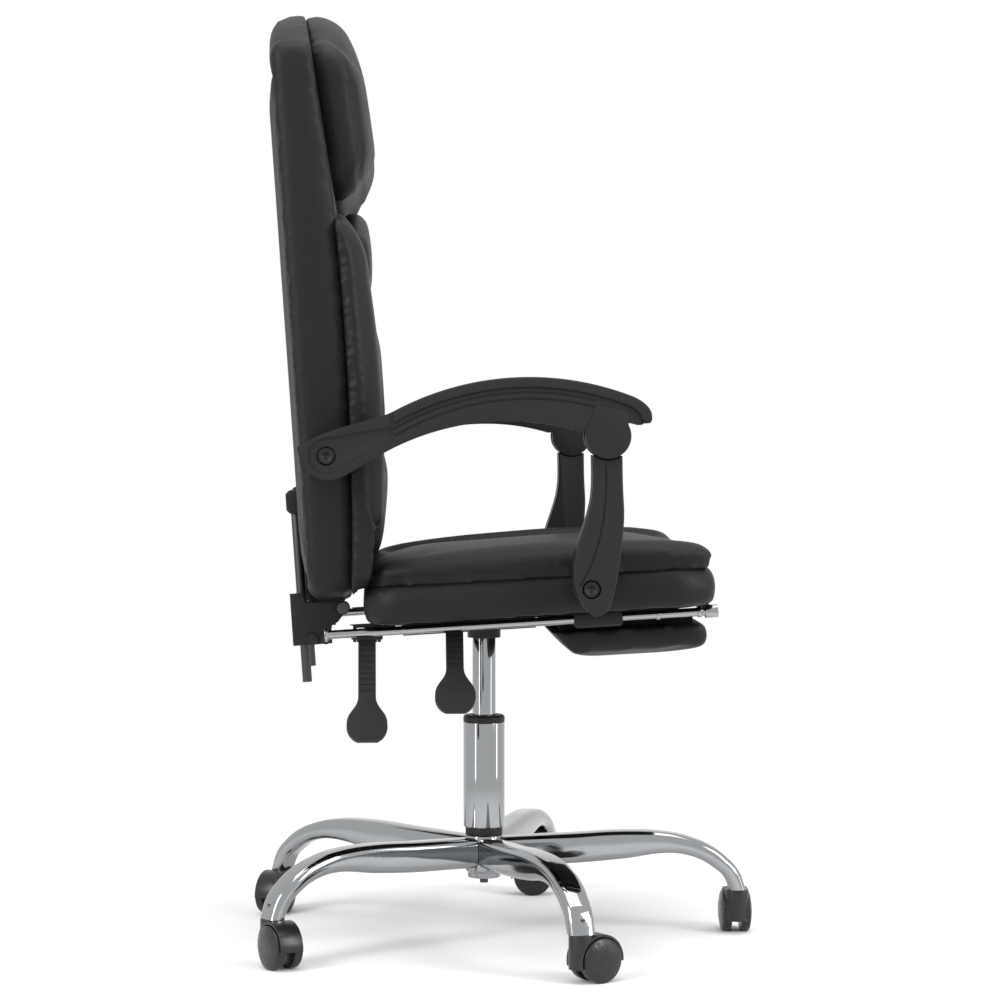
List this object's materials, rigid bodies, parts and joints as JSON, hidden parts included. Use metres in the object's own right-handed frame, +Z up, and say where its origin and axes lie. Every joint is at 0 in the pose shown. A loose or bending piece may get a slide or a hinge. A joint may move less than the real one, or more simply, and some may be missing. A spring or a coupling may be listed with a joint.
{
  "type": "reclining office chair",
  "caption": "High-back reclining office chair with padded headrest, linked arms, pull-out flip-over footrest and a gas-lift star base on casters.",
  "frame": {"origin": "on the floor, on the axis of the gas column", "axes": "+X forward, the way the sitter faces; +Y to the sitter's left; +Z up along the column"},
  "size_m": [0.6114, 0.623, 1.1054],
  "materials": {
    "black_leather": "satin grained",
    "black_plastic": "fine texture",
    "soft_touch": "soft touch",
    "caster_plastic": "satin",
    "chromed_steel": "polished",
    "steel": "zinc plated",
    "painted_steel": "satin black",
    "dust_cover": "black non-woven cover over plywood"
  },
  "bodies": {
    "base": {"base_hub": "chromed_steel", "base_leg_1": "chromed_steel", "base_leg_2": "chromed_steel", "base_leg_3": "chromed_steel", "base_leg_4": "chromed_steel", "base_leg_5": "chromed_steel", "column_tube": "chromed_steel", "column_collar": "black_plastic", "column_bush": "black_plastic", "thrust_bearing": "steel"},
    "lift_rod": {"gas_piston_rod": "steel"},
    "seat": {"gas_cylinder": "chromed_steel", "tilt_plate": "painted_steel", "seat_board": "dust_cover", "seat_base_cushion": "black_leather", "seat_top_cushion": "black_leather", "seat_hinge_ears": "painted_steel", "seat_fasteners": "steel", "footrest_guides": "black_plastic", "recline_lever_bracket": "painted_steel", "post_studs": "painted_steel"},
    "valve_button": {"gas_valve_button": "steel"},
    "lift_lever": {"lift_lever_rod": "steel", "lift_lever_handle": "black_plastic"},
    "recline_lever": {"recline_lever_handle": "black_plastic"},
    "footrest": {"footrest_rails": "chromed_steel"},
    "footrest_pad": {"footrest_hinges": "painted_steel", "footrest_board": "dust_cover", "footrest_pad": "black_leather"},
    "back": {"back_bracket": "painted_steel", "back_carriers": "steel", "carrier_clamps": "black_plastic", "back_panel": "black_leather", "back_slab": "black_leather", "headrest_pillow": "black_leather", "upper_back_pad": "black_leather", "lower_back_pad": "black_leather", "back_bolsters": "black_leather", "back_fasteners": "painted_steel"},
    "arm_right": {"arm_shell_right": "black_plastic", "arm_pad_right": "soft_touch"},
    "post_right": {"arm_post_right": "black_plastic"},
    "arm_left": {"arm_shell_left": "black_plastic", "arm_pad_left": "soft_touch"},
    "post_left": {"arm_post_left": "black_plastic"},
    "caster_1": {"caster_hood_1": "caster_plastic", "caster_pins_1": "steel"},
    "wheels_1": {"caster_wheels_1": "caster_plastic"},
    "caster_2": {"caster_hood_2": "caster_plastic", "caster_pins_2": "steel"},
    "wheels_2": {"caster_wheels_2": "caster_plastic"},
    "caster_3": {"caster_hood_3": "caster_plastic", "caster_pins_3": "steel"},
    "wheels_3": {"caster_wheels_3": "caster_plastic"},
    "caster_4": {"caster_hood_4": "caster_plastic", "caster_pins_4": "steel"},
    "wheels_4": {"caster_wheels_4": "caster_plastic"},
    "caster_5": {"caster_hood_5": "caster_plastic", "caster_pins_5": "steel"},
    "wheels_5": {"caster_wheels_5": "caster_plastic"}
  },
  "joints": [
    {"name": "seat_swivel", "type": "hinge", "parent": "base", "child": "lift_rod", "pos_m": [0, 0, 0.1], "axis": [0, 0, 1], "continuous": true},
    {"name": "seat_height", "type": "slide", "parent": "lift_rod", "child": "seat", "axis": [0, 0, 1], "range_m": [-0.08, 0]},
    {"name": "recline", "type": "hinge", "parent": "seat", "child": "back", "pos_m": [-0.1685, 0, 0.4075], "axis": [0, -1, 0], "range_deg": [0, 35]},
    {"name": "footrest_slide", "type": "slide", "parent": "seat", "child": "footrest", "axis": [0.9982, 0, 0.0593], "range_m": [0, 0.25]},
    {"name": "footrest_flip", "type": "hinge", "parent": "footrest", "child": "footrest_pad", "pos_m": [0.25202, 0, 0.40476], "axis": [0, -1, 0], "range_deg": [0, 180]},
    {"name": "lift_lever", "type": "hinge", "parent": "seat", "child": "lift_lever", "pos_m": [-0.041, -0.0565, 0.3868], "axis": [-1, 0, 0], "range_deg": [0, 2.5], "stiffness_Nm_per_rad": 1.5, "springref_deg": -4.58},
    {"name": "valve_press", "type": "slide", "parent": "seat", "child": "valve_button", "axis": [0, 0, 1], "range_m": [-0.0028, 0]},
    {"name": "recline_lever", "type": "hinge", "parent": "seat", "child": "recline_lever", "pos_m": [-0.141, -0.172, 0.376], "axis": [-1, 0, 0], "range_deg": [0, 20], "stiffness_Nm_per_rad": 0.4, "springref_deg": -11.46},
    {"name": "arm_right_pivot", "type": "hinge", "parent": "back", "child": "arm_right", "pos_m": [-0.1855, -0.273, 0.5825], "axis": [0, -1, 0], "range_deg": [-32, 0.5]},
    {"name": "post_right_pivot", "type": "hinge", "parent": "seat", "child": "post_right", "pos_m": [0.107, -0.2715, 0.435], "axis": [0, -1, 0], "range_deg": [-0.5, 36]},
    {"name": "arm_left_pivot", "type": "hinge", "parent": "back", "child": "arm_left", "pos_m": [-0.1855, 0.273, 0.5825], "axis": [0, -1, 0], "range_deg": [-32, 0.5]},
    {"name": "post_left_pivot", "type": "hinge", "parent": "seat", "child": "post_left", "pos_m": [0.107, 0.2715, 0.435], "axis": [0, -1, 0], "range_deg": [-0.5, 36]},
    {"name": "caster_1_swivel", "type": "hinge", "parent": "base", "child": "caster_1", "pos_m": [0.308, 0, 0.06], "axis": [0, 0, 1], "continuous": true},
    {"name": "wheels_1_spin", "type": "hinge", "parent": "caster_1", "child": "wheels_1", "pos_m": [0.308, 0.019, 0.025], "axis": [-1, 0, 0], "continuous": true},
    {"name": "caster_2_swivel", "type": "hinge", "parent": "base", "child": "caster_2", "pos_m": [0.09518, 0.29292, 0.06], "axis": [0, 0, 1], "continuous": true},
    {"name": "wheels_2_spin", "type": "hinge", "parent": "caster_2", "child": "wheels_2", "pos_m": [0.07618, 0.29292, 0.025], "axis": [0, -1, 0], "continuous": true},
    {"name": "caster_3_swivel", "type": "hinge", "parent": "base", "child": "caster_3", "pos_m": [-0.24918, 0.18104, 0.06], "axis": [0, 0, 1], "continuous": true},
    {"name": "wheels_3_spin", "type": "hinge", "parent": "caster_3", "child": "wheels_3", "pos_m": [-0.2578, 0.16411, 0.025], "axis": [0.891, -0.454, 0], "continuous": true},
    {"name": "caster_4_swivel", "type": "hinge", "parent": "base", "child": "caster_4", "pos_m": [-0.24918, -0.18104, 0.06], "axis": [0, 0, 1], "continuous": true},
    {"name": "wheels_4_spin", "type": "hinge", "parent": "caster_4", "child": "wheels_4", "pos_m": [-0.23968, -0.19749, 0.025], "axis": [0.866, 0.5, 0], "continuous": true},
    {"name": "caster_5_swivel", "type": "hinge", "parent": "base", "child": "caster_5", "pos_m": [0.09518, -0.29292, 0.06], "axis": [0, 0, 1], "continuous": true},
    {"name": "wheels_5_spin", "type": "hinge", "parent": "caster_5", "child": "wheels_5", "pos_m": [0.11146, -0.28314, 0.025], "axis": [-0.515, 0.8572, 0], "continuous": true}
  ],
  "couplings": [
    {"joint": "valve_press", "follows": "lift_lever", "m_per_rad": -0.0605},
    {"joint": "arm_right_pivot", "follows": "recline", "ratio": -0.8885},
    {"joint": "post_right_pivot", "follows": "recline", "ratio": 1},
    {"joint": "arm_left_pivot", "follows": "recline", "ratio": -0.8885},
    {"joint": "post_left_pivot", "follows": "recline", "ratio": 1}
  ]
}
